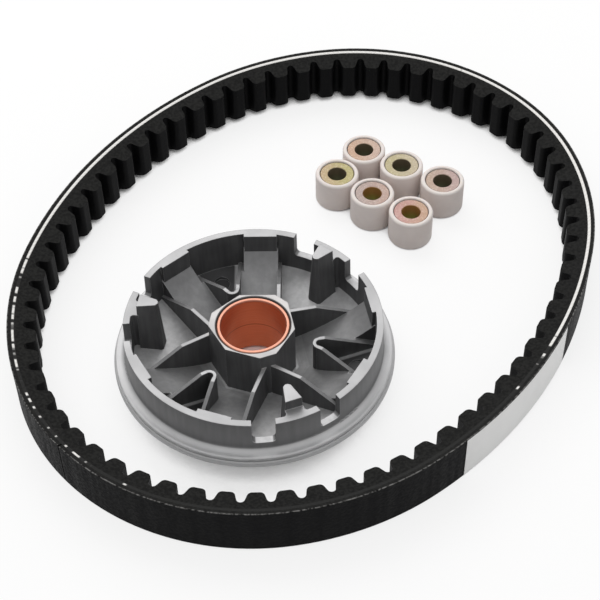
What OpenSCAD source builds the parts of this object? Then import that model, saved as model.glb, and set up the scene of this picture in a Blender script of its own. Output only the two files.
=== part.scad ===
// Drive set of a scooter's stepless belt gear, laid out loose on a bench: a cogged V-belt
// standing on its side, the sliding drive face with its pressed-in bush, and six roller weights.
// Millimetres, +Z up. The origin is on the bench, at the middle of the belt loop.

/* [Part to draw] */
// Name of the node to draw, or all

/* [Belt] */
// Width across the back of the belt
belt_width = 21; // [16:0.5:30]
// Height from the back to the tips of the cogs
belt_thickness = 10.8; // [8:0.1:16]
// Slope of each flank, half of the angle of the V
flank_angle = 13; // [10:0.5:18]
// Number of cogs round the loop
cog_count = 66; // [40:1:90]
// Place of the first gap between cogs, in cogs from the start of the loop
cog_start = 0.42; // [0:0.01:1]
// Depth of the root between two cogs, from the back
root_depth = 5.9; // [4:0.1:9]
// Radius of the round root
root_radius = 1.6; // [0.8:0.1:3]
// Slope of a cog's sides
cog_slope = 16; // [5:1:30]
// Rounding of the cog tips
cog_round = 2; // [0.5:0.1:2.4]
// Thickness of the rubber over the cords
cover_thickness = 1.6; // [1:0.1:3]
// Thickness of the cord layer
cord_thickness = 1.2; // [0.6:0.1:2]

/* [Belt loop as it lies] */
// Half of the loop's length
loop_half = 129.9; // [100:0.1:150]
// Radius of the loop's ends
end_radius = 93.7; // [60:0.1:120]
// Radius between the ends and the sides
mid_radius = 113.8; // [90:0.1:150]
// Angle of an end, each way from the long axis
end_angle = 41.6; // [20:0.1:60]
// Angle of the part between an end and a side
mid_angle = 28; // [10:0.1:40]
// Direction of the long axis, from +X
loop_turn = 56; // [0:1:180]

/* [Label] */
// Angle on the loop's side where the label starts
label_from = 253.8; // [250:0.1:290]
// Angle on the loop's side where the label ends
label_to = 275.7; // [250:0.1:290]
// Thickness of the label
label_thickness = 0.15; // [0.1:0.05:0.3]
// Bare edge of the belt above and below the label
label_edge = 0.4; // [0.2:0.1:3]

/* [Drive face] */
// Bore of the bush, running on the crankshaft's boss
bore_diameter = 24; // [16:0.1:30]
// Outside of the bush
bush_diameter = 27; // [20:0.1:34]
// Largest radius of the flange
flange_radius = 52.6; // [40:0.1:70]
// Slope of the belt face
face_angle = 14; // [10:0.5:18]
// Height of the flange's lower edge above the hub's end
lip_height = 10.4; // [6:0.1:16]
// Height of the flange's upper face
flange_top = 14.7; // [10:0.1:20]
// Outside radius of the skirt
skirt_radius = 48; // [36:0.1:64]
// Thickness of the skirt
skirt_wall = 2.5; // [1.5:0.1:5]
// Height of the rim
rim_height = 28.4; // [20:0.1:40]
// Height of the hub
hub_height = 27; // [18:0.1:40]
// Height of the guide posts
post_height = 33; // [24:0.1:45]
// Distance of the posts' inner ends from the axis
post_nose = 35.5; // [32:0.1:40]
// Draft of the posts' sides
post_draft = 4; // [0:0.5:6]
// Depth of the slots beside the posts
slot_depth = 9.6; // [4:0.1:14]
// Width of the slots beside the posts
slot_width = 8.4; // [4:0.1:12]
// Direction of the first guide post
post_angle = 49.6; // [0:0.1:120]

/* [Roller channels] */
// Angle of a channel from the middle of its pair
channel_angle = 20.7; // [15:0.1:30]
// Width of a channel
channel_width = 14.3; // [10:0.1:20]
// Distance of a channel's middle line from the axis
channel_offset = 1.15; // [0:0.05:5]
// Distance of the stop pads from the axis
pad_distance = 43.8; // [36:0.1:46]
// Width of a stop pad
pad_width = 12.7; // [8:0.1:16]
// Distance of a pad's middle line from the axis
pad_offset = 1.7; // [0:0.1:5]
// Radius of the ramp
ramp_radius = 90; // [40:1:200]
// Thickness of the ribs
rib_wall = 1.4; // [1:0.1:3]
// Height of the ribs beside the hub
rib_height = 21; // [14:0.1:28]

/* [Roller weights] */
// Outside diameter of a roller
roller_diameter = 18; // [14:0.5:24]
// Length of a roller
roller_length = 14; // [10:0.5:18]
// Diameter of the metal core
core_diameter = 14.5; // [10:0.1:18]
// Diameter of the hole in the core
core_hole = 7.7; // [2:0.1:12]
// Depth of the core's ends inside the sleeve
core_recess = 0.6; // [0.2:0.1:2]
// Rounding of the sleeve's edges
sleeve_round = 1; // [0.3:0.1:2]

/* [Layout on the bench] */
// Place of the drive face's axis
drive_face_at = [-21.2, -44.1];
// Places of the six rollers
roller_at = [[12.9, 50.2], [24.8, 64.8], [40.1, 54.6], [56.5, 44.6], [27, 38], [42.2, 26.7]];

/* [Hidden] */
$fn = 96;
eps = 0.01;

flank = tan(flank_angle);
cord_top = cover_thickness;
cord_bottom = cover_thickness + cord_thickness;
pitch_depth = (cord_top + cord_bottom) / 2;

// The loop is eight tangent arcs. Each centre lies on the last radius of the arc before it,
// and the side arcs are centred on the short axis.
end_x = loop_half - end_radius;
mid_x = end_x + (end_radius - mid_radius) * cos(end_angle);
mid_y = (end_radius - mid_radius) * sin(end_angle);
side_turn = end_angle + mid_angle;
side_radius = mid_radius + mid_x / cos(side_turn);
side_y = mid_y + (mid_radius - side_radius) * sin(side_turn);
arcs = [[end_x, 0, end_radius, -end_angle, end_angle],
        [mid_x, mid_y, mid_radius, end_angle, side_turn],
        [0, side_y, side_radius, side_turn, 180 - side_turn],
        [-mid_x, mid_y, mid_radius, 180 - side_turn, 180 - end_angle],
        [-end_x, 0, end_radius, 180 - end_angle, 180 + end_angle],
        [-mid_x, -mid_y, mid_radius, 180 + end_angle, 180 + side_turn],
        [0, -side_y, side_radius, 180 + side_turn, 360 - side_turn],
        [mid_x, -mid_y, mid_radius, 360 - side_turn, 360 - end_angle]];
function arc_length(k) = (arcs[k][2] - pitch_depth) * (arcs[k][4] - arcs[k][3]) * PI / 180;
function length_to(k) = k == 0 ? 0 : length_to(k - 1) + arc_length(k - 1);
cog_pitch = length_to(8) / cog_count;
// Arc and angle of the place that lies a distance along the cords.
function spot(s, k = 0) =
    s <= arc_length(k) || k == 7
    ? [k, arcs[k][3] + s / (arcs[k][2] - pitch_depth) * 180 / PI]
    : spot(s - arc_length(k), k + 1);

// Cross-section of a layer of the belt between two depths from the back, grown by a margin.
module layer_section(radius, near, far, grow)
{
    polygon([[radius - far - grow, far * flank - grow], [radius - near + grow, near * flank - grow],
             [radius - near + grow, belt_width - near * flank + grow],
             [radius - far - grow, belt_width - far * flank + grow]]);
}

// One layer of the belt. A thin slice across each meeting of two arcs makes them one piece.
module belt_layer(near, far)
{
    rotate(loop_turn)
        for (a = arcs)
            translate([a[0], a[1], 0])
                rotate(a[3])
                {
                    rotate_extrude(angle = a[4] - a[3])
                        layer_section(a[2], near, far, 0);
                    rotate([90, 0, 0])
                        linear_extrude(height = 0.2, center = true)
                            layer_section(a[2], near, far, 0.005);
                }
}

// Outline of the gap between two cogs: a round root, sloping sides and rounded mouth corners.
module cog_gap()
{
    root_x = -root_depth - root_radius;
    side = root_radius - 0.08;
    start_x = root_x + side * sin(cog_slope);
    start_y = side * cos(cog_slope);
    mouth_y = start_y + (start_x + belt_thickness) * tan(cog_slope);
    corner = cog_round - 0.06;
    reach = corner * tan(45 - cog_slope / 2);
    lip_x = -belt_thickness + reach * cos(cog_slope);
    lip_y = mouth_y - reach * sin(cog_slope);
    wide_y = mouth_y + reach;
    difference()
    {
        union()
        {
            translate([root_x, 0])
                circle(r = root_radius);
            polygon([[start_x, start_y], [lip_x, lip_y], [-belt_thickness, wide_y],
                     [-belt_thickness - 1, wide_y], [-belt_thickness - 1, -wide_y],
                     [-belt_thickness, -wide_y], [lip_x, -lip_y], [start_x, -start_y]]);
        }
        for (way = [-1, 1])
            translate([corner - belt_thickness, way * wide_y])
                circle(r = cog_round);
    }
}

// Rubber cover on the back of the belt.
module belt_back()
{
    color([0.11, 0.11, 0.11])
        belt_layer(0, cord_top);
}

// Tension cords, wound side by side and seen as a pale line on the cut flanks.
module belt_cord()
{
    color([0.82, 0.8, 0.76])
        belt_layer(cord_top, cord_bottom);
}

// Rubber body with the cogs on its inside.
module belt_cogs()
{
    color([0.13, 0.13, 0.13])
        difference()
        {
            belt_layer(cord_bottom, belt_thickness);
            rotate(loop_turn)
                for (i = [0 : cog_count - 1])
                {
                    p = spot((i + cog_start) * cog_pitch);
                    a = arcs[p[0]];
                    translate([a[0], a[1], -1])
                        rotate(p[1])
                            translate([a[2], 0, 0])
                                linear_extrude(height = belt_width + 2)
                                    cog_gap();
                }
        }
}

// Plain paper label stuck round the back of the belt.
module belt_label()
{
    side = arcs[6];
    color([0.9, 0.9, 0.88])
        rotate(loop_turn)
            translate([side[0], side[1], label_edge])
                rotate(label_from)
                    rotate_extrude(angle = label_to - label_from)
                        translate([side[2], 0])
                            square([label_thickness, belt_width - 2 * label_edge]);
}

rim_inner = skirt_radius - skirt_wall;
lip_radius = flange_radius - 0.5;
groove_radius = flange_radius - 1.2;
hub_foot = 17;
function face_height(r) = lip_height - (flange_radius - r) * tan(face_angle);
// The inside floor rises from the hub to the skirt.
web_inner = 5.5;
web_outer = 11.6;
function web_height(r) = web_inner + (r - hub_foot) / (rim_inner - hub_foot) * (web_outer - web_inner);
groove_low = lip_height + 2.4;
groove_high = groove_low + 0.7;
shoulder = 0.9;
skirt_fillet = 2.4;

// Half section of the turned body: belt face, flange with its groove, skirt and inside floor.
module body_section()
{
    polygon([[bush_diameter / 2 - 1, 0], [hub_foot, 0], [hub_foot, face_height(hub_foot)],
             [lip_radius, face_height(lip_radius)], [flange_radius, lip_height + 0.2],
             [flange_radius, groove_low - 0.5], [flange_radius - 0.4, groove_low],
             [groove_radius, groove_low], [groove_radius, groove_high],
             [lip_radius, groove_high], [lip_radius, flange_top - shoulder],
             [lip_radius - shoulder, flange_top], [skirt_radius + 0.3, flange_top],
             [skirt_radius, rim_height], [rim_inner, rim_height], [rim_inner, web_outer],
             [hub_foot, web_inner], [bush_diameter / 2 - 1, web_inner]]);
    translate([lip_radius - shoulder, flange_top - shoulder])
        circle(r = shoulder);
    difference()
    {
        translate([skirt_radius - 0.5, flange_top - 0.5])
            square([skirt_fillet + 0.7, skirt_fillet + 0.5]);
        translate([skirt_radius + 0.2 + skirt_fillet, flange_top + skirt_fillet])
            circle(r = skirt_fillet);
    }
}

// Hub outline: a flat square to each channel and a flat facing each guide post.
module hub_outline()
{
    intersection_for (k = [0 : 8])
    {
        third = floor(k / 3);
        turn = third * 120 + [-channel_angle, channel_angle, 60][k % 3];
        reach = [14.6, 14.6, 16.3][k % 3];
        rotate(turn)
            translate([reach - 60, -30])
                square([60, 60]);
    }
}

ramp_start = [14.6, 5.2];
ramp_end = [pad_distance, 20.2];
ramp_chord = ramp_end - ramp_start;
ramp_span = norm(ramp_chord);
ramp_drop = sqrt(pow(ramp_radius, 2) - pow(ramp_span / 2, 2));
ramp_centre = (ramp_start + ramp_end) / 2 + [-ramp_chord[1], ramp_chord[0]] / ramp_span * ramp_drop;
channel_in = channel_offset - channel_width / 2;
channel_out = channel_offset + channel_width / 2;
pad_in = pad_offset - pad_width / 2;
pad_out = pad_offset + pad_width / 2;
fold_radius = 1.4;
fold_at = (fold_radius + rib_wall - channel_in) / sin(channel_angle);
rib_bend = 25.5;
rib_low = 12.2;
rib_end = 46;
rib_meets_ramp = 37.3;
function rib_top(u) = rib_height - max(0, u - rib_bend) / (rib_end - rib_bend) * (rib_height - rib_low);

// A slab along a channel: its side outline, distance from the axis against height, made
// from one sideways place to another. The channel runs along +X.
module along_channel(from, to)
{
    translate([0, -from, 0])
        rotate([90, 0, 0])
            linear_extrude(height = to - from)
                children();
}

// Side outline of a rib, level by the hub and sloping down to the skirt.
module rib_outline(start)
{
    polygon([[start, 3], [rib_end, 3], [rib_end, rib_low], [rib_bend, rib_height],
             [start, rib_height]]);
}

// Side outline of the low ledge beside the upper end of a ramp, a little under the rib's top.
module ledge_outline()
{
    start = rib_meets_ramp - 0.1;
    polygon([[start, 3], [rib_end, 3], [rib_end, rib_low - 0.15], [start, rib_top(start) - 0.15]]);
}

// Side outline of a ramp, hollow to the large circle that the roller climbs along.
module ramp_outline(end)
{
    difference()
    {
        translate([11, 3])
            square([end - 11, 20]);
        translate(ramp_centre)
            circle(r = ramp_radius, $fn = 360);
    }
}

// One channel with its ramp, two ribs and the stop pad on the skirt. By the hub the ramp
// reaches across to the other channel of the pair, and above the ribs it is as wide as the pad.
module channel()
{
    along_channel(channel_in - 0.4, channel_out + 0.4)
        ramp_outline(rib_meets_ramp);
    along_channel(pad_in - 0.3, pad_out + 0.4)
        ramp_outline(rib_end);
    along_channel(channel_in - 0.4, pad_in)
        ledge_outline();
    along_channel(channel_in - rib_wall - 5, channel_in - 0.2)
        ramp_outline(22.5);
    along_channel(channel_out, channel_out + rib_wall)
        rib_outline(11.5);
    along_channel(channel_in - rib_wall, channel_in)
        rib_outline(fold_at * cos(channel_angle));
    along_channel(pad_in, pad_out)
        translate([pad_distance, 8])
            square([46.4 - pad_distance, rim_height - 8]);
}

// A pair of channels with the rounded fold that joins their inner ribs.
module channel_pair()
{
    rotate(-channel_angle)
        channel();
    mirror([0, 1, 0])
        rotate(-channel_angle)
            channel();
    translate([fold_at, 0, 0])
        rotate(82 + channel_angle)
            rotate_extrude(angle = 196 - 2 * channel_angle)
                translate([fold_radius + 0.1, 3])
                    square([rib_wall - 0.2, rib_height - 3.05]);
}

// The half space inside one flat of a guide post, which crosses the top's inner end at a distance
// to one side and at an angle, and leans out by the draft towards the floor.
module post_flat(side, distance, angle)
{
    translate([post_nose, side * distance, post_height])
        rotate(side * angle)
            rotate([side * post_draft, 0, 0])
                translate([-20, side > 0 ? -30 : 0, -50])
                    cube([60, 30, 60]);
}

// A guide post: a tall wedge with a blunt nose, on a neck that joins it to the skirt in two
// round corners.
module guide_post()
{
    neck = 3.4;
    corner = 1.4;
    intersection()
    {
        translate([30, -10, 5])
            cube([13, 20, post_height - 5]);
        post_flat(-1, 1.25, 13.5);
        post_flat(1, 1.25, 13.5);
        post_flat(-1, 0.45, 51);
        post_flat(1, 0.45, 51);
        translate([post_nose, 0, post_height])
            rotate([0, post_draft / 2, 0])
                translate([0, -20, -50])
                    cube([30, 40, 60]);
    }
    translate([0, 0, 5])
        linear_extrude(height = rim_height - 5)
        {
            translate([42.5, -neck])
                square([46.4 - 42.5, 2 * neck]);
            for (side = [-1, 1])
                difference()
                {
                    translate([43.95, side * (neck + 0.5) - 0.9])
                        square([2.35, 1.8]);
                    translate([43.95, side * (neck + corner - 0.06)])
                        circle(r = corner);
                }
        }
}

// The flat mark that an ejector pin left in the floor between two channels.
module ejector_mark()
{
    translate([38.6, 0, web_height(38.6) - 0.7])
        cylinder(r = 3, h = 4);
}

// A slot beside a guide post, flat at the bottom with round corners, cut through the skirt.
module post_slot()
{
    corner = 1.6;
    translate([43, 0, rim_height - slot_depth])
        rotate([90, 0, 90])
            linear_extrude(height = 8)
            {
                translate([-slot_width / 2, corner])
                    square([slot_width, slot_depth]);
                translate([-slot_width / 2 + corner, 0])
                    square([slot_width - 2 * corner, corner + eps]);
                for (side = [-1, 1])
                    translate([side * (slot_width / 2 - corner), corner])
                        circle(r = corner);
            }
}

// Die-cast sliding drive face, lying on its hub with the belt face down.
module drive_face()
{
    color([0.66, 0.67, 0.68])
        translate([drive_face_at[0], drive_face_at[1], 0])
            rotate(post_angle)
                difference()
                {
                    union()
                    {
                        difference()
                        {
                            rotate_extrude()
                                body_section();
                            for (k = [0 : 2], side = [-1, 1])
                                rotate(k * 120 + side * 15)
                                    post_slot();
                        }
                        translate([0, 0, 1])
                            linear_extrude(height = hub_height - 1)
                                rotate(60)
                                    hub_outline();
                        difference()
                        {
                            for (k = [0 : 2])
                            {
                                rotate(k * 120)
                                    guide_post();
                                rotate(k * 120 + 60)
                                    channel_pair();
                            }
                            rotate_extrude()
                                polygon([[0, -1], [60, -1], [60, face_height(60) + 1],
                                         [hub_foot, face_height(hub_foot) + 1],
                                         [0, face_height(hub_foot) + 1]]);
                        }
                    }
                    for (k = [0 : 2])
                        rotate(k * 120 + 60)
                            ejector_mark();
                    translate([0, 0, -1])
                        cylinder(d = bush_diameter, h = 40);
                    translate([0, 0, hub_height - 0.7])
                        cylinder(d1 = bush_diameter, d2 = bush_diameter + 1.6, h = 0.8);
                }
}

// Bush pressed into the hub, its bore running on the crankshaft's boss.
module hub_bush()
{
    top = hub_height - 0.3;
    color([0.72, 0.4, 0.28])
        translate([drive_face_at[0], drive_face_at[1], 0])
            difference()
            {
                translate([0, 0, 0.3])
                    cylinder(d = bush_diameter, h = top - 0.3);
                translate([0, 0, -1])
                    cylinder(d = bore_diameter, h = hub_height + 2);
                translate([0, 0, top - 0.4])
                    cylinder(d1 = bore_diameter, d2 = bore_diameter + 1, h = 0.5);
            }
}

// Nylon sleeve of a roller weight, standing on its end.
module sleeve(k)
{
    radius = roller_diameter / 2;
    inner = core_diameter / 2;
    color([0.8, 0.76, 0.72])
        translate([roller_at[k][0], roller_at[k][1], 0])
            rotate_extrude()
            {
                translate([inner, 0.3])
                    square([radius - sleeve_round - inner, roller_length - 0.6]);
                translate([inner + 0.3, 0])
                    square([radius - sleeve_round - inner - 0.3, roller_length]);
                translate([inner, sleeve_round])
                    square([radius - inner, roller_length - 2 * sleeve_round]);
                for (z = [sleeve_round, roller_length - sleeve_round])
                    translate([radius - sleeve_round, z])
                        circle(r = sleeve_round);
            }
}

// Plated metal core of a roller weight, whose hole sets the weight.
module core(k)
{
    length = roller_length - 2 * core_recess;
    color([0.84, 0.7, 0.52])
        translate([roller_at[k][0], roller_at[k][1], core_recess])
            difference()
            {
                cylinder(d = core_diameter, h = length);
                translate([0, 0, -1])
                    cylinder(d = core_hole, h = length + 2);
                translate([0, 0, length - 0.3])
                    cylinder(d1 = core_hole, d2 = core_hole + 0.8, h = 0.4);
            }
}

belt_back();
belt_cord();
belt_cogs();
belt_label();
drive_face();
hub_bush();
sleeve(0);  // roller_1_sleeve
core(0);  // roller_1_core
sleeve(1);  // roller_2_sleeve
core(1);  // roller_2_core
sleeve(2);  // roller_3_sleeve
core(2);  // roller_3_core
sleeve(3);  // roller_4_sleeve
core(3);  // roller_4_core
sleeve(4);  // roller_5_sleeve
core(4);  // roller_5_core
sleeve(5);  // roller_6_sleeve
core(5);  // roller_6_core
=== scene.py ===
import bpy
import numpy as np
from mathutils import Matrix


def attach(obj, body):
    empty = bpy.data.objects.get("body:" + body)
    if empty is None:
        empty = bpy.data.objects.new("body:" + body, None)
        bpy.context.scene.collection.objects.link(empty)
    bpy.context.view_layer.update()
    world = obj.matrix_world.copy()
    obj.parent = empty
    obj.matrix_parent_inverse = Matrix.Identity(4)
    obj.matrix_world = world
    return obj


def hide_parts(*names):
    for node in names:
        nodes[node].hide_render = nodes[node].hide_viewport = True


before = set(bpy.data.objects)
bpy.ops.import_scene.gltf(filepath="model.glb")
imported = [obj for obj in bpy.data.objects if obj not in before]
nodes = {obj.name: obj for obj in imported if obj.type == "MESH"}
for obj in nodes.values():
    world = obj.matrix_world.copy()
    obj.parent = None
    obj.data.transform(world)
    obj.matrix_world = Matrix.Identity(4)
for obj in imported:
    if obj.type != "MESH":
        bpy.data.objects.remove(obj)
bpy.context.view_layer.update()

# Bench and light.
# A wide white bench top under a soft box and a pale sky, seen from in front and above,
# as small parts are laid out to be photographed.
BENCH_LOW, BENCH_HALF, BENCH_GLOW = -0.0003, 4.0, 0.8


class Field:
    """A value that varies over a surface: a node socket whose sums and products add Math nodes."""

    def __init__(self, tree, socket=None):
        self.tree, self.socket = tree, socket

    def feed(self, socket, value):
        """Gives a node's socket a varying value or a constant."""
        if isinstance(value, Field):
            self.tree.links.new(value.socket, socket)
        else:
            socket.default_value = value

    def node(self, kind, settings, sockets, out=0):
        """Adds a node of that kind, sets it up, fills its sockets and gives one of its outputs."""
        made = self.tree.nodes.new("ShaderNode" + kind)
        for name, value in settings.items():
            setattr(made, name, value)
        for name, value in sockets.items():
            self.feed(made.inputs[name], value)
        return Field(self.tree, made.outputs[out])

    def maths(self, operation, first, second=0.0):
        return self.node("Math", {"operation": operation}, {0: first, 1: second})

    def __add__(self, other):
        return self.maths("ADD", self, other)

    def __radd__(self, other):
        return self.maths("ADD", other, self)

    def __sub__(self, other):
        return self.maths("SUBTRACT", self, other)

    def __rsub__(self, other):
        return self.maths("SUBTRACT", other, self)

    def __mul__(self, other):
        return self.maths("MULTIPLY", self, other)

    def __truediv__(self, other):
        return self.maths("DIVIDE", self, other)

    def step(self, low, high):
        """0 below low and 1 above high, turning smoothly between them."""
        return self.node("MapRange", {"interpolation_type": "SMOOTHSTEP"},
                         {"Value": self, "From Min": low, "From Max": high})

    def near(self, middle, inside, outside):
        """1 closer to the middle than inside and 0 farther from it than outside."""
        return 1.0 - self.maths("ABSOLUTE", self - middle).step(inside, outside)

    def wave(self, length):
        """A sine between 0 and 1 that comes round once in each length."""
        return self.maths("SINE", self * (2 * np.pi / length)) * 0.5 + 0.5

    def place(self):
        """Where a point of the surface is, in the object's own metres."""
        return self.node("TexCoord", {}, {}, "Object")

    def facing(self):
        """The way that the bare surface faces."""
        return self.node("NewGeometry", {}, {}, "True Normal")

    def part(self, axis):
        """The X, Y or Z of a vector."""
        return self.node("SeparateXYZ", {}, {0: self}, axis)

    def noise(self, scale, detail=4.0):
        """Cloudy noise over a place, finer with a larger scale."""
        return self.node("TexNoise", {}, {"Vector": self, "Scale": scale, "Detail": detail})

    def streaks(self, level, upright):
        """Noise over a place with one scale on the level and another one upright."""
        drawn = self.node("Mapping", {}, {"Vector": self, "Scale": (level, level, upright)})
        return drawn.noise(1.0, 3.0)

    def bump(self, strength, depth=0.0001, **more):
        """The normal of a surface that this value raises, by a depth for each unit."""
        return self.node("Bump", {}, {"Height": self, "Strength": strength, "Distance": depth, **more})


def mixed(factor, first, second):
    """Colour that goes from the first to the second as factor goes from 0 to 1."""
    return factor.node("Mix", {"data_type": "RGBA"}, {0: factor, 6: first, 7: second}, 2)


def painted(name, paint):
    """A material whose one shader takes what paint gives for each of its sockets."""
    made = bpy.data.materials.new(name)
    made.use_nodes = True
    shader = made.node_tree.nodes["Principled BSDF"]
    field = Field(made.node_tree)
    for socket, value in paint(field).items():
        field.feed(shader.inputs[socket], value)
    return made


def rgb(red, green, blue):
    """A colour as read off a screen, 0 to 255, as the linear values that shaders take."""
    screen = np.array([red, green, blue]) / 255
    linear = np.where(screen < 0.04045, screen / 12.92, ((screen + 0.055) / 1.055) ** 2.4)
    return (*linear.tolist(), 1.0)


def seen_rays(f):
    """1 for what the camera sees, straight, in a reflection or in a glass, 0 for light itself."""
    kinds = [f.node("LightPath", {}, {}, f"Is {kind} Ray")
             for kind in ("Camera", "Glossy", "Transmission")]
    return f.maths("MINIMUM", kinds[0] + kinds[1] + kinds[2], 1.0)


bench_material = bpy.data.materials.new("bench white")
bench_material.use_nodes = True
bench_field = Field(bench_material.node_tree)
bench_seen = seen_rays(bench_field)
bench_grain = bench_field.place().noise(40.0)
# The bench glows less where pieces stand close round it, as inside a bore.
bench_open = bench_field.node("AmbientOcclusion", {"samples": 8}, {"Distance": 0.03}, "AO")
bench_white = mixed(bench_grain, rgb(250, 250, 250), rgb(253, 253, 253))
bench_matt = bench_field.node("BsdfDiffuse", {}, {
    "Color": mixed(bench_seen, rgb(208, 208, 208), bench_white)})
bench_glow = bench_field.node("Emission", {}, {"Color": rgb(255, 255, 255), "Strength": 1.0})
bench_shade = bench_field.node("MixShader", {}, {
    0: bench_seen * bench_open.step(0.17, 0.42) * BENCH_GLOW, 1: bench_matt, 2: bench_glow})
bench_output = bench_material.node_tree.nodes["Material Output"]
bench_field.feed(bench_output.inputs["Surface"], bench_shade)
bench_corners = np.array([(-1, -1), (1, -1), (1, 1), (-1, 1)]) * BENCH_HALF
bench_mesh = bpy.data.meshes.new("bench")
bench_mesh.from_pydata([(x, y, BENCH_LOW) for x, y in bench_corners.tolist()], [], [(0, 1, 2, 3)])
bench_mesh.materials.append(bench_material)
bench = bpy.data.objects.new("bench", bench_mesh)
bpy.context.scene.collection.objects.link(bench)

# The sky is plain white to the eye and lights the set from SKY_LOW up, more towards the top.
SKY_LOW, SKY_CLIMB = 0.36, 0.5
sky = bpy.data.worlds.new("studio")
bpy.context.scene.world = sky
sky.use_nodes = True
sky_field = Field(sky.node_tree)
sky_seen = seen_rays(sky_field)
sky_height = sky_field.node("TexCoord", {}, {}, "Generated").part("Z")
sky_glow = sky_field.maths("MAXIMUM", sky_height, 0.0) * SKY_CLIMB + SKY_LOW
sky_light = sky.node_tree.nodes["Background"]
sky_field.feed(sky_light.inputs["Strength"], sky_seen + (1.0 - sky_seen) * sky_glow)
sky_field.feed(sky_light.inputs["Color"], (1.0, 1.0, 1.0, 1.0))


def set_up(name, data, right, up, back, place):
    """A lamp or a camera at a place, looking away from back, with its own right and up."""
    made = bpy.data.objects.new(name, data)
    bpy.context.scene.collection.objects.link(made)
    turn = np.eye(4)
    turn[:3] = np.stack([right, up, back, place], -1)
    made.matrix_world = Matrix(turn.tolist())
    return made


LAMP_PLACE, LAMP_WATTS = np.array([-0.3, 0.85, 1.0]), 9.0
lamp = bpy.data.lights.new("soft box behind", "AREA")
lamp.shape, lamp.size, lamp.size_y = "RECTANGLE", 1.4, 1.0
lamp.energy, lamp.color = LAMP_WATTS, (1.0, 0.99, 0.98)
lamp_back = LAMP_PLACE / np.linalg.norm(LAMP_PLACE)
lamp_right = np.cross((0.0, 1.0, 0.0), lamp_back)
lamp_right /= np.linalg.norm(lamp_right)
set_up("soft box behind", lamp, lamp_right, np.cross(lamp_back, lamp_right), lamp_back, LAMP_PLACE)

CAMERA_PLACE = (-0.00377, -0.4052, 0.4394)
CAMERA_FALL, CAMERA_ROLL = np.radians(47.902), np.radians(-1.317)
LENS_MM, SENSOR_MM = 89.34, 36.0
camera = bpy.data.cameras.new("camera")
camera.lens, camera.sensor_width = LENS_MM, SENSOR_MM
camera.clip_start, camera.clip_end = 0.01, 20.0
camera_back = np.array([0.0, -np.cos(CAMERA_FALL), np.sin(CAMERA_FALL)])
level_right = np.array([1.0, 0.0, 0.0])
level_up = np.cross(camera_back, level_right)
bpy.context.scene.camera = set_up(
    "camera", camera, np.cos(CAMERA_ROLL) * level_right + np.sin(CAMERA_ROLL) * level_up,
    np.cos(CAMERA_ROLL) * level_up - np.sin(CAMERA_ROLL) * level_right, camera_back, CAMERA_PLACE)
bpy.context.scene.view_settings.view_transform = "Standard"

# Belt cover.
# The smooth rubber back of the V-belt, moulded round the cords and ground to width, so its
# edges are crisp. It keeps a faint ripple of the cogs on the other side, and a mould seam.
BELT_WIDTH, FLANK = 0.021, np.tan(np.radians(13.0))
# Depths from the back: under the cover, under the cords, in the gaps' roots, at the cogs' tips.
COVER, CORDS, ROOT, TIP = 0.0016, 0.0028, 0.0059, 0.0108
PITCH_DEPTH = (COVER + CORDS) / 2
COGS, COG_START = 66, 0.42
END_RADIUS, MID_RADIUS, LOOP_HALF, LOOP_TURN = 0.0937, 0.1138, 0.1299, np.radians(56.0)
END_ANGLE, SIDE_TURN = np.radians(41.6), np.radians(41.6 + 28.0)

end_x = LOOP_HALF - END_RADIUS
mid_x = end_x + (END_RADIUS - MID_RADIUS) * np.cos(END_ANGLE)
mid_y = (END_RADIUS - MID_RADIUS) * np.sin(END_ANGLE)
side_radius = MID_RADIUS + mid_x / np.cos(SIDE_TURN)
side_y = mid_y + (MID_RADIUS - side_radius) * np.sin(SIDE_TURN)
# Centre, radius, first and last angle of the eight tangent arcs of the loop.
arcs = np.array([
    (end_x, 0, END_RADIUS, -END_ANGLE, END_ANGLE),
    (mid_x, mid_y, MID_RADIUS, END_ANGLE, SIDE_TURN),
    (0, side_y, side_radius, SIDE_TURN, np.pi - SIDE_TURN),
    (-mid_x, mid_y, MID_RADIUS, np.pi - SIDE_TURN, np.pi - END_ANGLE),
    (-end_x, 0, END_RADIUS, np.pi - END_ANGLE, np.pi + END_ANGLE),
    (-mid_x, -mid_y, MID_RADIUS, np.pi + END_ANGLE, np.pi + SIDE_TURN),
    (0, -side_y, side_radius, np.pi + SIDE_TURN, 2 * np.pi - SIDE_TURN),
    (mid_x, -mid_y, MID_RADIUS, 2 * np.pi - SIDE_TURN, 2 * np.pi - END_ANGLE)])
arc_ends = np.cumsum((arcs[:, 2] - PITCH_DEPTH) * (arcs[:, 4] - arcs[:, 3]))
arc_starts = np.concatenate([[0.0], arc_ends[:-1]])
loop_length = arc_ends[-1]
cog_pitch = loop_length / COGS


def on_loop(along, depth, height):
    """Points a distance along the cords, a depth in from the belt's back, at a height.

    The arc that holds the distance turns about its centre by distance over radius, and the
    depth comes off its radius; the whole loop is then turned to its long axis."""
    along, depth, height = np.broadcast_arrays(along, depth, height)
    k = np.clip(np.searchsorted(arc_starts, along % loop_length, "right") - 1, 0, len(arcs) - 1)
    x, y, radius, start = arcs[k, 0], arcs[k, 1], arcs[k, 2], arcs[k, 3]
    angle = start + (along % loop_length - arc_starts[k]) / (radius - PITCH_DEPTH)
    x = x + (radius - depth) * np.cos(angle)
    y = y + (radius - depth) * np.sin(angle)
    return np.stack([x * np.cos(LOOP_TURN) - y * np.sin(LOOP_TURN),
                     x * np.sin(LOOP_TURN) + y * np.cos(LOOP_TURN), height], -1)


def flank_height(depth, side):
    """Height of the upper flank, side 1, or the lower one, side 0, at a depth from the back."""
    return depth * FLANK if side == 0 else BELT_WIDTH - depth * FLANK


def span_of(across, up):
    """Distance along an outline at each of its points."""
    return np.concatenate([[0], np.cumsum(np.hypot(np.diff(across), np.diff(up)))])


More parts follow.
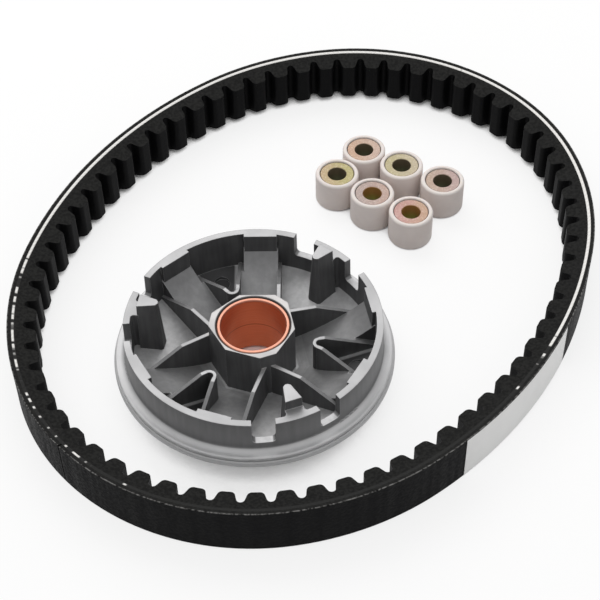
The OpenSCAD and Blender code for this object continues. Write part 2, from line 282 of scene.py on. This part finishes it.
def grid_mesh(name, points, u, v, round_u=True, crease=35.0):
    """Mesh of a grid of points whose columns close, and its rows if asked, with a UV in metres.

    v has one value more than the columns, and so has u for the rows where they close. An open
    end of the rows is capped with one face."""
    rows, columns = points.shape[:2]
    i, j = np.meshgrid(np.arange(rows if round_u else rows - 1), np.arange(columns), indexing="ij")
    i, j = i.ravel(), j.ravel()
    corners = np.stack([np.stack([i, j], -1), np.stack([i + 1, j], -1),
                        np.stack([i + 1, j + 1], -1), np.stack([i, j + 1], -1)], 1)
    faces = (corners[..., 0] % rows) * columns + corners[..., 1] % columns
    uv = np.stack([np.asarray(u)[corners[..., 0]], np.asarray(v)[corners[..., 1]]], -1)
    faces, uv = faces.tolist(), uv.reshape(-1, 2)
    if not round_u:
        for row in (range(columns - 1, -1, -1), range((rows - 1) * columns, rows * columns)):
            faces.append(list(row))
            uv = np.concatenate([uv, np.zeros((columns, 2))])
    mesh = bpy.data.meshes.new(name)
    mesh.from_pydata(points.reshape(-1, 3).tolist(), [], faces)
    mesh.uv_layers.new(name="along").data.foreach_set("uv", uv.astype(np.float32).ravel())
    mesh.polygons.foreach_set("use_smooth", np.ones(len(faces), bool))
    mesh.set_sharp_from_angle(angle=np.radians(crease))
    mesh.validate()
    return mesh


def piece(name, mesh, body, slot, material, *stands_for):
    """An object of the set, riding on its body in place of the CAD nodes that it stands for."""
    made = bpy.data.objects.new(name, mesh)
    bpy.context.scene.collection.objects.link(made)
    mesh.materials.append(material)
    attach(made, body)
    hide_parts(*stands_for)


# Outline of the cover in depth and height: up the back between two small rounded edges, each a
# parabola from EDGE in along the back to EDGE deep in the flank. It is set in by a hair, so that
# no point of it stands out past the solid's facets.
EDGE, SET_IN = 0.0003, 0.00004
turn_in = np.linspace(0, 1, 6)
edge_depth = EDGE * turn_in ** 2
edge_drop = EDGE * (1 - turn_in) ** 2 + edge_depth * FLANK
back_height = np.linspace(EDGE, BELT_WIDTH - EDGE, 12)[1:-1]
cover_depth = np.concatenate([[COVER], edge_depth[::-1], 0 * back_height, edge_depth, [COVER]])
flat_back = cover_depth == 0
cover_depth = np.maximum(cover_depth, SET_IN)
cover_height = np.concatenate([[flank_height(COVER, 0)], edge_drop[::-1], back_height,
                               BELT_WIDTH - edge_drop, [flank_height(COVER, 1)]])
# The back sinks by a hair behind each gap between cogs, least at its edges.
RIPPLE, STEPS_PER_COG = 0.00005, 16
cover_along = np.linspace(0, loop_length, STEPS_PER_COG * COGS, endpoint=False)
sink = RIPPLE * (1 + np.cos(2 * np.pi * (cover_along / cog_pitch - COG_START)))
amid = np.clip(1 - np.abs(cover_height / BELT_WIDTH * 2 - 1) ** 4, 0, 1) * flat_back
cover_points = on_loop(cover_along[:, None], cover_depth + sink[:, None] * amid, cover_height)
cover_span = span_of(cover_depth, cover_height)
cover_mesh = grid_mesh("belt cover", cover_points, np.append(cover_along, loop_length),
                       np.append(cover_span, cover_span[-1] + BELT_WIDTH))
upper_edge = 1 + len(turn_in) + len(back_height) + len(turn_in) // 2
TOP_EDGE, SEAM_ALONG = cover_span[upper_edge], 0.5614 * loop_length


def on_flank(f):
    """1 on the belt's flanks, which face up and down, and 0 on its back and its inside."""
    return f.maths("ABSOLUTE", f.facing().part("Z")).step(0.4, 0.7)


def ground_rubber(grain, cloud):
    """Colour of the flanks, which grinding leaves dull and grainy."""
    return mixed(grain * 0.6 + cloud * 0.4, rgb(20, 20, 20), rgb(42, 42, 41))


def cover_paint(f):
    """Black rubber banded along the loop, with one seam and a painted highlight along its top corner.
    """
    where = f.place()
    uv = f.node("UVMap", {"uv_map": "along"}, {}, "UV")
    along = uv.part("X")
    grain = where.noise(900.0).step(0.35, 0.65)
    cloud = where.noise(60.0)
    band = f.node("TexNoise", {"noise_dimensions": "1D"}, {"W": along * 55.0, "Detail": 2.0})
    band = band.step(0.3, 0.7)
    hollow = (along / cog_pitch + (0.25 - COG_START)).wave(1.0)
    edge_highlight = uv.part("Y").near(TOP_EDGE, 0.0001, 0.00045)
    seam = along.near(SEAM_ALONG, 0.00015, 0.0005)
    back = mixed(cloud * 0.2 + band * 0.35 + hollow * 0.1 + grain * 0.35,
                 rgb(4, 4, 5), rgb(22, 22, 23))
    rubber = mixed(on_flank(f), back, ground_rubber(grain, cloud))
    # The speckled pale line along the upper corner is a painted highlight.
    rubber = mixed(edge_highlight * grain * 0.85, rubber, rgb(132, 131, 129))
    rough = 0.34 + cloud * 0.12 + grain * 0.16 + band * 0.12 + edge_highlight * 0.3
    return {"Base Color": mixed(seam, rubber, rgb(2, 2, 2)), "Roughness": rough + seam * 0.3,
            "Specular IOR Level": 0.04, "Normal": (grain - seam * 4.0).bump(0.4)}


piece("belt_cover", cover_mesh, "belt", "belt_cover", painted("belt cover rubber", cover_paint),
      "belt_back")

# Tension cords.
# White polyester cords are wound side by side under the cover. Grinding the flanks cuts into
# the outer turn, which shows as a twisted pale line, hidden where rubber still covers it.
CORD_STEPS_PER_COG, CORD_BULGE, PLY_BULGE = 40, 0.0001, 0.00003
# Length of one turn of the twist along the cord, and its slant over the cord's width.
PLY_ALONG, PLY_DEEP = 0.0021, 0.0022
# Rubber left over the cord, by bearing round the loop in degrees: none round the far half,
# more and more along the near side, and enough to hide it all in front.
COVERED_AT = [0, 176, 184, 205, 222, 246, 252, 303, 310, 328, 336, 360]
COVERED = [0, 0, 0.42, 0.55, 0.68, 0.74, 1.3, 1.3, 0.75, 0.6, 0.05, 0]
# Half of the width that shows, as a share of the layer of cords.
HALF_AT = [0, 150, 186, 240, 312, 336, 360]
HALF = [0.5, 0.5, 0.36, 0.3, 0.3, 0.45, 0.5]
cord_along = np.linspace(0, loop_length, CORD_STEPS_PER_COG * COGS, endpoint=False)
bead = np.linspace(0, 1, 9)
cord_share = np.concatenate([bead[::-1], bead])
cord_depth = COVER + (CORDS - COVER) * cord_share
upper = np.repeat([False, True], len(bead))
cord_flat = np.where(upper, flank_height(cord_depth, 1), flank_height(cord_depth, 0))
cord_place = on_loop(cord_along, 0.0, 0.0)
cord_bearing = np.degrees(np.arctan2(cord_place[:, 1], cord_place[:, 0])) % 360
draw = np.random.default_rng(7)
beat = np.convolve(np.tile(draw.normal(size=len(cord_along)), 3), np.hanning(11), "same")
beat = beat[len(cord_along):2 * len(cord_along)]
beat = beat / np.abs(beat).max() * 0.5 + 0.5


def shown(excess):
    """0 to 1, turning over a short span about the place where the excess is 0."""
    return np.clip(excess / 0.12 + 0.5, 0, 1)


lengthwise = shown(beat - np.interp(cord_bearing, COVERED_AT, COVERED))
crosswise = shown(np.interp(cord_bearing, HALF_AT, HALF)[:, None] - np.abs(cord_share - 0.5))
cord_show = lengthwise[:, None] * crosswise
# Where it shows, the cord stands out as a bead, sin(pi t) ** 0.7 over its width t, with the
# twist of its plies as a slanting wave on it.
twist = np.sin(2 * np.pi * (cord_along[:, None] / PLY_ALONG + cord_depth / PLY_DEEP))
rise = np.sin(np.pi * cord_share) ** 0.7 * cord_show * (CORD_BULGE + PLY_BULGE * twist)
cord_points = on_loop(cord_along[:, None], cord_depth, cord_flat + np.where(upper, rise, -rise))
cord_mesh = grid_mesh("belt cord", cord_points, np.append(cord_along, loop_length),
                      np.append(cord_depth, COVER), crease=60.0)
shows = cord_mesh.attributes.new("cord_show", "FLOAT", "POINT")
shows.data.foreach_set("value", cord_show.astype(np.float32).ravel())


def cord_paint(f):
    """White twisted yarn where the cord shows, and black rubber where it does not."""
    uv = f.node("UVMap", {"uv_map": "along"}, {}, "UV")
    fuzz = f.place().noise(1800.0, 3.0)
    show = f.node("Attribute", {"attribute_name": "cord_show"}, {}, "Fac")
    ply = (uv.part("X") / PLY_ALONG + uv.part("Y") / PLY_DEEP).wave(1.0)
    white = mixed(ply * 0.5 + fuzz * 0.5, rgb(226, 223, 218), rgb(250, 249, 247))
    black = mixed(fuzz, rgb(22, 22, 22), rgb(40, 40, 39))
    return {"Base Color": mixed(show, black, white), "Roughness": 0.75,
            "Specular IOR Level": 0.2, "Normal": (fuzz + ply).bump(0.4)}


piece("belt_cords", cord_mesh, "belt", "belt_cord", painted("belt cord yarn", cord_paint), "belt_cord")

# Cogged body.
# The rubber under the cords, moulded into rounded cogs so that the belt bends round small
# pulleys. Short fibres lie across it and speckle the ground flanks.
ROOT_RADIUS, COG_SLOPE, COG_ROUND = 0.0016, np.radians(16.0), 0.002


def cog_outline():
    """Depth of the inside over one pitch, as points from the middle of a gap to the next gap.

    A quarter of the round root, the sloping side, the rounded tip corner and the flat tip,
    then the same mirrored."""
    sweep = np.linspace(0, np.pi / 2 - COG_SLOPE, 8)
    along = ROOT_RADIUS * np.sin(sweep)
    depth = ROOT + ROOT_RADIUS - ROOT_RADIUS * np.cos(sweep)
    mouth = along[-1] + (TIP - depth[-1]) * np.tan(COG_SLOPE)
    reach = COG_ROUND * np.tan(np.pi / 4 - COG_SLOPE / 2)
    bend = np.linspace(np.pi / 2 - COG_SLOPE, 0, 12)
    corner_along = mouth + reach - COG_ROUND * np.sin(bend)
    corner_depth = TIP - COG_ROUND + COG_ROUND * np.cos(bend)
    flat = np.linspace(mouth + reach, cog_pitch / 2, 4)[1:]
    side = np.linspace(0, 1, 4)[1:-1]
    side_along = along[-1] + (corner_along[0] - along[-1]) * side
    side_depth = depth[-1] + (corner_depth[0] - depth[-1]) * side
    along = np.concatenate([along, side_along, corner_along, flat])
    depth = np.concatenate([depth, side_depth, corner_depth, 0 * flat + TIP])
    return (np.concatenate([along, cog_pitch - along[-2:0:-1]]),
            np.concatenate([depth, depth[-2:0:-1]]))


one_along, one_depth = cog_outline()
cog_along = ((np.arange(COGS) + COG_START)[:, None] * cog_pitch + one_along).ravel()
cog_depth = np.tile(one_depth, COGS)
# Each row of the grid goes from the cords along the lower flank, up the inside and back.
FLANK_POINTS, INSIDE_POINTS = 5, 6
outward = np.linspace(0, 1, FLANK_POINTS)
share = np.concatenate([outward, np.ones(INSIDE_POINTS), outward[::-1]])
ascent = np.concatenate([np.zeros(FLANK_POINTS), np.linspace(0, 1, INSIDE_POINTS + 2)[1:-1],
                         np.ones(FLANK_POINTS)])
cog_rows = CORDS + (cog_depth - CORDS)[:, None] * share
low, high = flank_height(cog_rows, 0), flank_height(cog_rows, 1)
cog_points = on_loop(cog_along[:, None], cog_rows, low + (high - low) * ascent)
cog_span = span_of((TIP - CORDS) * share, (BELT_WIDTH - 2 * TIP * FLANK) * ascent)
cog_mesh = grid_mesh("belt cogs", cog_points, np.append(cog_along, cog_along[0] + loop_length),
                     np.append(cog_span, cog_span[-1] + BELT_WIDTH), crease=40.0)


def cog_paint(f):
    """Dark moulded rubber with fibres on the inside, and ground rubber on the flanks."""
    where = f.place()
    flank = on_flank(f)
    fibre = where.streaks(900.0, 120.0)
    speck = where.noise(900.0).step(0.35, 0.65)
    cloud = where.noise(90.0)
    moulded = mixed(fibre.step(0.3, 0.7) * 0.5 + cloud * 0.5, rgb(5, 5, 6), rgb(13, 13, 14))
    return {"Base Color": mixed(flank, moulded, ground_rubber(speck, cloud)),
            "Roughness": 0.5 + flank * 0.2 + cloud * 0.1, "Specular IOR Level": 0.06,
            "Normal": (fibre + speck).bump(0.3)}


piece("belt_body", cog_mesh, "belt", "belt_rubber", painted("belt cog rubber", cog_paint), "belt_cogs")

# Label.
# A plain white paper sticker wrapped along the back of the belt, a little narrower than the
# back and pressed down thin along its long edges.
LABEL_THICK, LABEL_EDGE, PRESSED = 0.00015, 0.0004, 0.4
LABEL_FROM, LABEL_TO = np.radians(253.8), np.radians(275.7)
LABEL_ARC, LABEL_POINTS = 6, 14
label_turn = np.array([LABEL_FROM, LABEL_TO]) - arcs[LABEL_ARC, 3]
label_ends = arc_starts[LABEL_ARC] + label_turn * (side_radius - PITCH_DEPTH)
label_along = np.linspace(*label_ends, 160)
label_height = np.linspace(LABEL_EDGE, BELT_WIDTH - LABEL_EDGE, LABEL_POINTS)
label_ring = np.concatenate([label_height, label_height[::-1]])
label_lift = np.concatenate([np.ones(LABEL_POINTS), np.zeros(LABEL_POINTS)]) * LABEL_THICK
label_lift[[0, LABEL_POINTS - 1]] *= PRESSED
label_points = on_loop(label_along[:, None], -label_lift, label_ring)
label_mesh = grid_mesh("belt label", label_points, label_along - label_along[0],
                       np.append(label_ring, label_ring[0]), round_u=False)


def label_paint(f):
    """White paper, a little uneven."""
    where = f.place()
    grain = where.noise(1400.0)
    shade = where.noise(70.0, 3.0)
    return {"Base Color": mixed(shade.step(0.3, 0.8), rgb(250, 250, 249), rgb(243, 243, 242)),
            "Roughness": 0.3 + grain * 0.15, "Normal": (grain + shade * 6.0).bump(0.12, 0.0002)}


piece("belt_sticker", label_mesh, "belt", "label", painted("label paper", label_paint), "belt_label")

# Drive face.
# A die-cast aluminium disc with a cone for the belt below and six roller ramps inside. The
# tops that meet other parts and the outer flange are machined bright; the rest is left as cast.
# Painted light and shade lie in its colour by the way each face turns: upright walls, the floors
# of the pockets and the skirt's foot are darker, up-turned faces and rounded corners lighter.
AXIS_X, AXIS_Y, POST_ANGLE = -0.0212, -0.0441, np.radians(49.6)
# Radius where the folded ribs start, and how they spread from there.
FOLD_AT, FOLD_SPREAD = 0.0249, np.tan(np.radians(20.7))
# Radii of the hub's top, the bush's seat, the skirt's outside and the flange's inner edge.
HUB_TOP, SEAT, SKIRT, FLANGE = 0.0179, 0.014, 0.048, 0.05055
MACHINED_HEIGHT, EDGE_ROUND, TURNING_PITCH = 0.02, 0.0004, 0.00042


def from_axis(where, x, y):
    """A place seen from an upright axis at x, y, and its distance from that axis."""
    local = where.node("VectorMath", {"operation": "SUBTRACT"}, {0: where, 1: (x, y, 0.0)})
    level = where.node("VectorMath", {"operation": "MULTIPLY"}, {0: local, 1: (1.0, 1.0, 0.0)})
    return local, where.node("VectorMath", {"operation": "LENGTH"}, {0: level}, "Value")


def cast_paint(f):
    """Grey cast metal with painted light and shade by the way each face turns, and machined faces
    with turning lines.

    The three folds lie half way between the posts, and aside is the angle from the nearest one.
    The pockets are the wedges between two ribs, which spread from a fold outwards, and their
    floors hold painted shade."""
    where, facing = f.place(), f.facing()
    up, height = facing.part("Z"), where.part("Z")
    local, radius = from_axis(where, AXIS_X, AXIS_Y)
    rounded = f.node("Bevel", {"samples": 6}, {"Radius": EDGE_ROUND})
    turned = f.node("VectorMath", {"operation": "DOT_PRODUCT"}, {0: rounded, 1: facing}, "Value")
    edge_highlight = (1.0 - turned).step(0.03, 0.25)
    pits = where.noise(900.0, 5.0)
    flow = where.noise(70.0, 5.0).step(0.3, 0.7)
    streak = where.streaks(500.0, 40.0).step(0.3, 0.7)
    machined = up.step(0.9, 0.97) * height.step(MACHINED_HEIGHT - 0.0005, MACHINED_HEIGHT)
    ramp = up.step(0.35, 0.6) * (1.0 - machined)
    web = up.step(0.93, 0.96) * (1.0 - machined)
    bearing = f.maths("ARCTAN2", local.part("Y"), local.part("X"))
    third = f.maths("COSINE", (bearing - POST_ANGLE) * 3.0)
    aside = f.maths("ARCCOSINE", third * -0.9999) / 3.0
    spread = (radius * f.maths("COSINE", aside) - FOLD_AT) * FOLD_SPREAD
    pocket_shade = web * (spread - radius * f.maths("SINE", aside)).step(-0.0005, 0.0005)

    # Painted light and shade by the way each face turns: upright walls darker, flat webs lighter, and
    # slopes between them, darker towards their high outer ends under the rim.
    shaded_wall = mixed(flow * 0.5 + streak * 0.5, rgb(78, 78, 79), rgb(102, 102, 103))
    slope_light_and_shade = mixed(flow * 0.6 + streak * 0.4, rgb(138, 138, 139), rgb(162, 162, 163))
    slope_light_and_shade = mixed(height.step(0.012, 0.019) * 0.45, slope_light_and_shade, rgb(84, 84, 85))
    lit_web = mixed(flow * 0.6 + streak * 0.4, rgb(170, 170, 171), rgb(204, 204, 205))
    shaded_skin = mixed(web, mixed(ramp, shaded_wall, slope_light_and_shade), lit_web)
    # The floors of the pockets between the ribs are painted darker: painted shade.
    shaded_skin = mixed(pocket_shade, shaded_skin, mixed(flow, rgb(64, 64, 65), rgb(80, 80, 81)))
    skirt = mixed(flow * 0.5 + streak * 0.3, rgb(126, 126, 127), rgb(146, 146, 147))
    # The skirt's outside turns warm and dark towards its foot: a painted reflection.
    skirt = mixed((1.0 - height.step(0.0105, 0.017)) * 0.5, skirt, rgb(84, 80, 76))
    # Outside the skirt, faces that turn up are painted bright as painted light, and beyond radius
    # FLANGE the outer flange is machined bright all over.
    lip_and_lit_tops = f.maths("MAXIMUM", ramp, radius.step(FLANGE - 0.00025, FLANGE + 0.00025))
    rim = mixed(lip_and_lit_tops, skirt, mixed(flow, rgb(190, 190, 191), rgb(206, 206, 207)))
    top = mixed(radius.step(HUB_TOP - 0.0007, HUB_TOP + 0.0007),
                rgb(172, 170, 169), rgb(160, 160, 161))
    top = mixed(flow * 0.4, top, rgb(150, 150, 151))
    outside = radius.step(SKIRT - 0.0002, SKIRT + 0.0002)
    colour = mixed(machined, mixed(outside, shaded_skin, rim), top)
    # Rounded corners that the bevel finds are painted pale: a painted highlight.
    colour = mixed(edge_highlight * 0.55, colour, rgb(205, 205, 206))
    seat = (1.0 - radius.step(SEAT - 0.0002, SEAT + 0.0002)) * height.step(0.02, 0.022)
    colour = mixed(seat, colour, rgb(44, 38, 36))
    grain = pits * (1.0 - machined) * 0.7 + radius.wave(TURNING_PITCH) * machined * 0.15
    return {"Base Color": colour, "Metallic": 0.35 + machined * 0.3,
            "Roughness": 0.46 + flow * 0.1 - machined * 0.06, "Specular IOR Level": 0.35,
            "Normal": grain.bump(0.25, Normal=rounded)}


cast_material = painted("die-cast aluminium", cast_paint)
nodes["drive_face"].data.materials.clear()
nodes["drive_face"].data.materials.append(cast_material)

# Hub bush.
# A copper-coloured sintered bush pressed into the hub, its bore turned smooth as a sliding
# bearing, with a small chamfer at each mouth and one dark line round the bore.
BORE, BUSH, BUSH_LOW, BUSH_TOP = 0.012, 0.0135, 0.0003, 0.0267
BUSH_BREAK, MOUTH_WIDE, MOUTH_DEEP = 0.0003, 0.0004, 0.0006
TOOL_MARK, TOOL_FEED, DARK_RING = 0.00002, 0.0021, 0.0135


def turned_mesh(name, outline, x, y, steps):
    """Mesh of a closed outline, in radius and height, turned round an upright axis at x, y."""
    angle = np.linspace(0, 2 * np.pi, steps, endpoint=False)[:, None]
    radius, height = np.asarray(outline).T
    points = np.stack([x + radius * np.cos(angle), y + radius * np.sin(angle),
                       np.broadcast_to(height, (steps, len(height)))], -1)
    span = span_of(radius, height)
    return grid_mesh(name, points, np.linspace(0, 1, steps + 1), np.append(span, span[-1] + 0.01))


bore_height = np.linspace(BUSH_TOP - MOUTH_DEEP, BUSH_LOW + MOUTH_DEEP, 60)
bore_radius = BORE + TOOL_MARK * np.sin(2 * np.pi * bore_height / TOOL_FEED)
bush_outline = np.concatenate([
    [(BUSH, BUSH_LOW), (BUSH, BUSH_TOP - BUSH_BREAK), (BUSH - BUSH_BREAK, BUSH_TOP)],
    [(BORE + MOUTH_WIDE, BUSH_TOP)], np.stack([bore_radius, bore_height], -1),
    [(BORE + MOUTH_WIDE, BUSH_LOW)]])
bush_mesh = turned_mesh("bush", bush_outline, AXIS_X, AXIS_Y, 128)


def bush_paint(f):
    """Copper-coloured metal with fine turning lines, paler on its end, and one dark ring."""
    where = f.place()
    up = f.facing().part("Z").step(0.2, 0.5)
    lines = where.streaks(60.0, 3000.0)
    cloud = where.noise(160.0)
    ring = where.part("Z").near(DARK_RING, 0.0001, 0.0004)
    bore = mixed(lines.step(0.3, 0.7) * 0.5 + cloud * 0.5, rgb(208, 124, 86), rgb(224, 144, 104))
    bore = mixed(ring * 0.5, bore, rgb(120, 60, 36))
    return {"Base Color": mixed(up, bore, rgb(184, 130, 110)), "Metallic": 0.7,
            "Roughness": 0.26 + lines * 0.14, "Normal": lines.bump(0.15)}


piece("bush", bush_mesh, "drive_face", "bush_metal", painted("bush metal", bush_paint), "hub_bush")

# Roller weights.
# Six short rollers that swing out along the ramps: a moulded nylon sleeve round a turned and
# plated steel core. The hole through the core sets the weight.
ROLLERS = [(0.0129, 0.0502), (0.0248, 0.0648), (0.0401, 0.0546), (0.0565, 0.0446),
           (0.027, 0.038), (0.0422, 0.0267)]
ROLLER_RADIUS, ROLLER_LENGTH, ROLLER_STEPS = 0.009, 0.014, 96
SLEEVE_ROUND, SLEEVE_LIP = 0.001, 0.0003
CORE_RADIUS, CORE_HOLE, CORE_DEEP = 0.00725, 0.00385, 0.0006
CORE_BREAK, HOLE_BREAK, CORE_BAND, CORE_RINGS = 0.0004, 0.0002, 0.0012, 0.00028


def mirrored(half):
    """The same outline at the roller's other end, in the opposite order."""
    return half[::-1] * (1, -1) + (0, ROLLER_LENGTH)


quarter = np.linspace(0, np.pi / 2, 8)
top_edge = np.stack([ROLLER_RADIUS - SLEEVE_ROUND + SLEEVE_ROUND * np.cos(quarter),
                     ROLLER_LENGTH - SLEEVE_ROUND + SLEEVE_ROUND * np.sin(quarter)], -1)
sleeve_lip = np.array([(CORE_RADIUS + SLEEVE_LIP, ROLLER_LENGTH),
                       (CORE_RADIUS, ROLLER_LENGTH - SLEEVE_LIP)])
sleeve_outline = np.concatenate([mirrored(top_edge), top_edge, sleeve_lip, mirrored(sleeve_lip)])
core_top = ROLLER_LENGTH - CORE_DEEP
core_half = np.array([(CORE_RADIUS, core_top - CORE_BREAK), (CORE_RADIUS - CORE_BREAK, core_top),
                      (CORE_RADIUS - CORE_BAND, core_top), (CORE_HOLE + CORE_BAND, core_top),
                      (CORE_HOLE + HOLE_BREAK, core_top), (CORE_HOLE, core_top - HOLE_BREAK)])
core_outline = np.concatenate([mirrored(core_half), core_half])


def sleeve_paint(f):
    """Pinkish white nylon, painted paler round its top as painted light."""
    where = f.place()
    fine = where.noise(1500.0)
    colour = mixed(where.noise(120.0).step(0.3, 0.7), rgb(221, 210, 205), rgb(229, 219, 214))
    # The band round the top is painted paler: painted light on the part that faces up.
    colour = mixed(where.part("Z").step(0.0128, 0.0137) * 0.6, colour, rgb(240, 233, 228))
    return {"Base Color": colour, "Roughness": 0.42 + fine * 0.16, "Specular IOR Level": 0.2,
            "Subsurface Weight": 0.08, "Subsurface Radius": (0.002, 0.0015, 0.001),
            "Normal": fine.bump(0.12)}


sleeve_material = painted("roller nylon", sleeve_paint)
# Plating colours of the cores, from one side of the end face to the other.
PLATING = [((147, 129, 102), (141, 134, 91)), ((153, 126, 108), (154, 133, 122)),
           ((145, 137, 105), (151, 141, 120)), ((146, 127, 114), (147, 127, 124)),
           ((137, 123, 119), (145, 123, 114)), ((152, 117, 113), (152, 125, 106))]
# Colours inside the holes, deep down and by the mouth: four are dull and two are bright.
HOLES = [((156, 162, 132), (148, 134, 114))] * 4 + [((186, 196, 126), (202, 158, 102))] * 2


def core_paint(f, place, first, second, deep, mouth):
    """Plated steel that changes colour over its end, dark at its rim, with its own hole."""
    where = f.place()
    local, radius = from_axis(where, *place)
    side = local.part("X") / CORE_RADIUS * 0.5 + 0.5
    cloud = where.noise(260.0)
    speck = where.noise(2200.0, 2.0)
    hole = 1.0 - radius.step(CORE_HOLE + 0.00002, CORE_HOLE + 0.0001)
    rim = radius.step(CORE_RADIUS - CORE_BREAK, CORE_RADIUS - 0.0001)
    tint = mixed((side * 0.6 + cloud * 0.6 - 0.1).step(0.2, 0.8), rgb(*first), rgb(*second))
    tint = mixed(speck.step(0.45, 0.75) * 0.35, tint, rgb(208, 198, 182))
    tint = mixed(rim * 0.7, tint, rgb(70, 60, 54))
    inside = mixed(where.part("Z").step(0.005, 0.011), rgb(*deep), rgb(*mouth))
    return {"Base Color": mixed(hole, tint, inside), "Metallic": 0.7,
            "Roughness": 0.38 + cloud * 0.1, "Normal": (radius.wave(CORE_RINGS) + speck).bump(0.08)}


for number, (place, tints, inner) in enumerate(zip(ROLLERS, PLATING, HOLES), 1):
    body = f"roller_{number}"
    sleeve_mesh = turned_mesh(f"sleeve {number}", sleeve_outline, *place, ROLLER_STEPS)
    piece(f"sleeve_{number}", sleeve_mesh, body, "sleeve_nylon", sleeve_material,
          f"roller_{number}_sleeve")
    plated = painted(f"core plating {number}",
                     lambda f, place=place, tints=tints + inner: core_paint(f, place, *tints))
    core_mesh = turned_mesh(f"core {number}", core_outline, *place, ROLLER_STEPS)
    piece(f"core_{number}", core_mesh, body, f"core_plate_{number}", plated, f"roller_{number}_core")
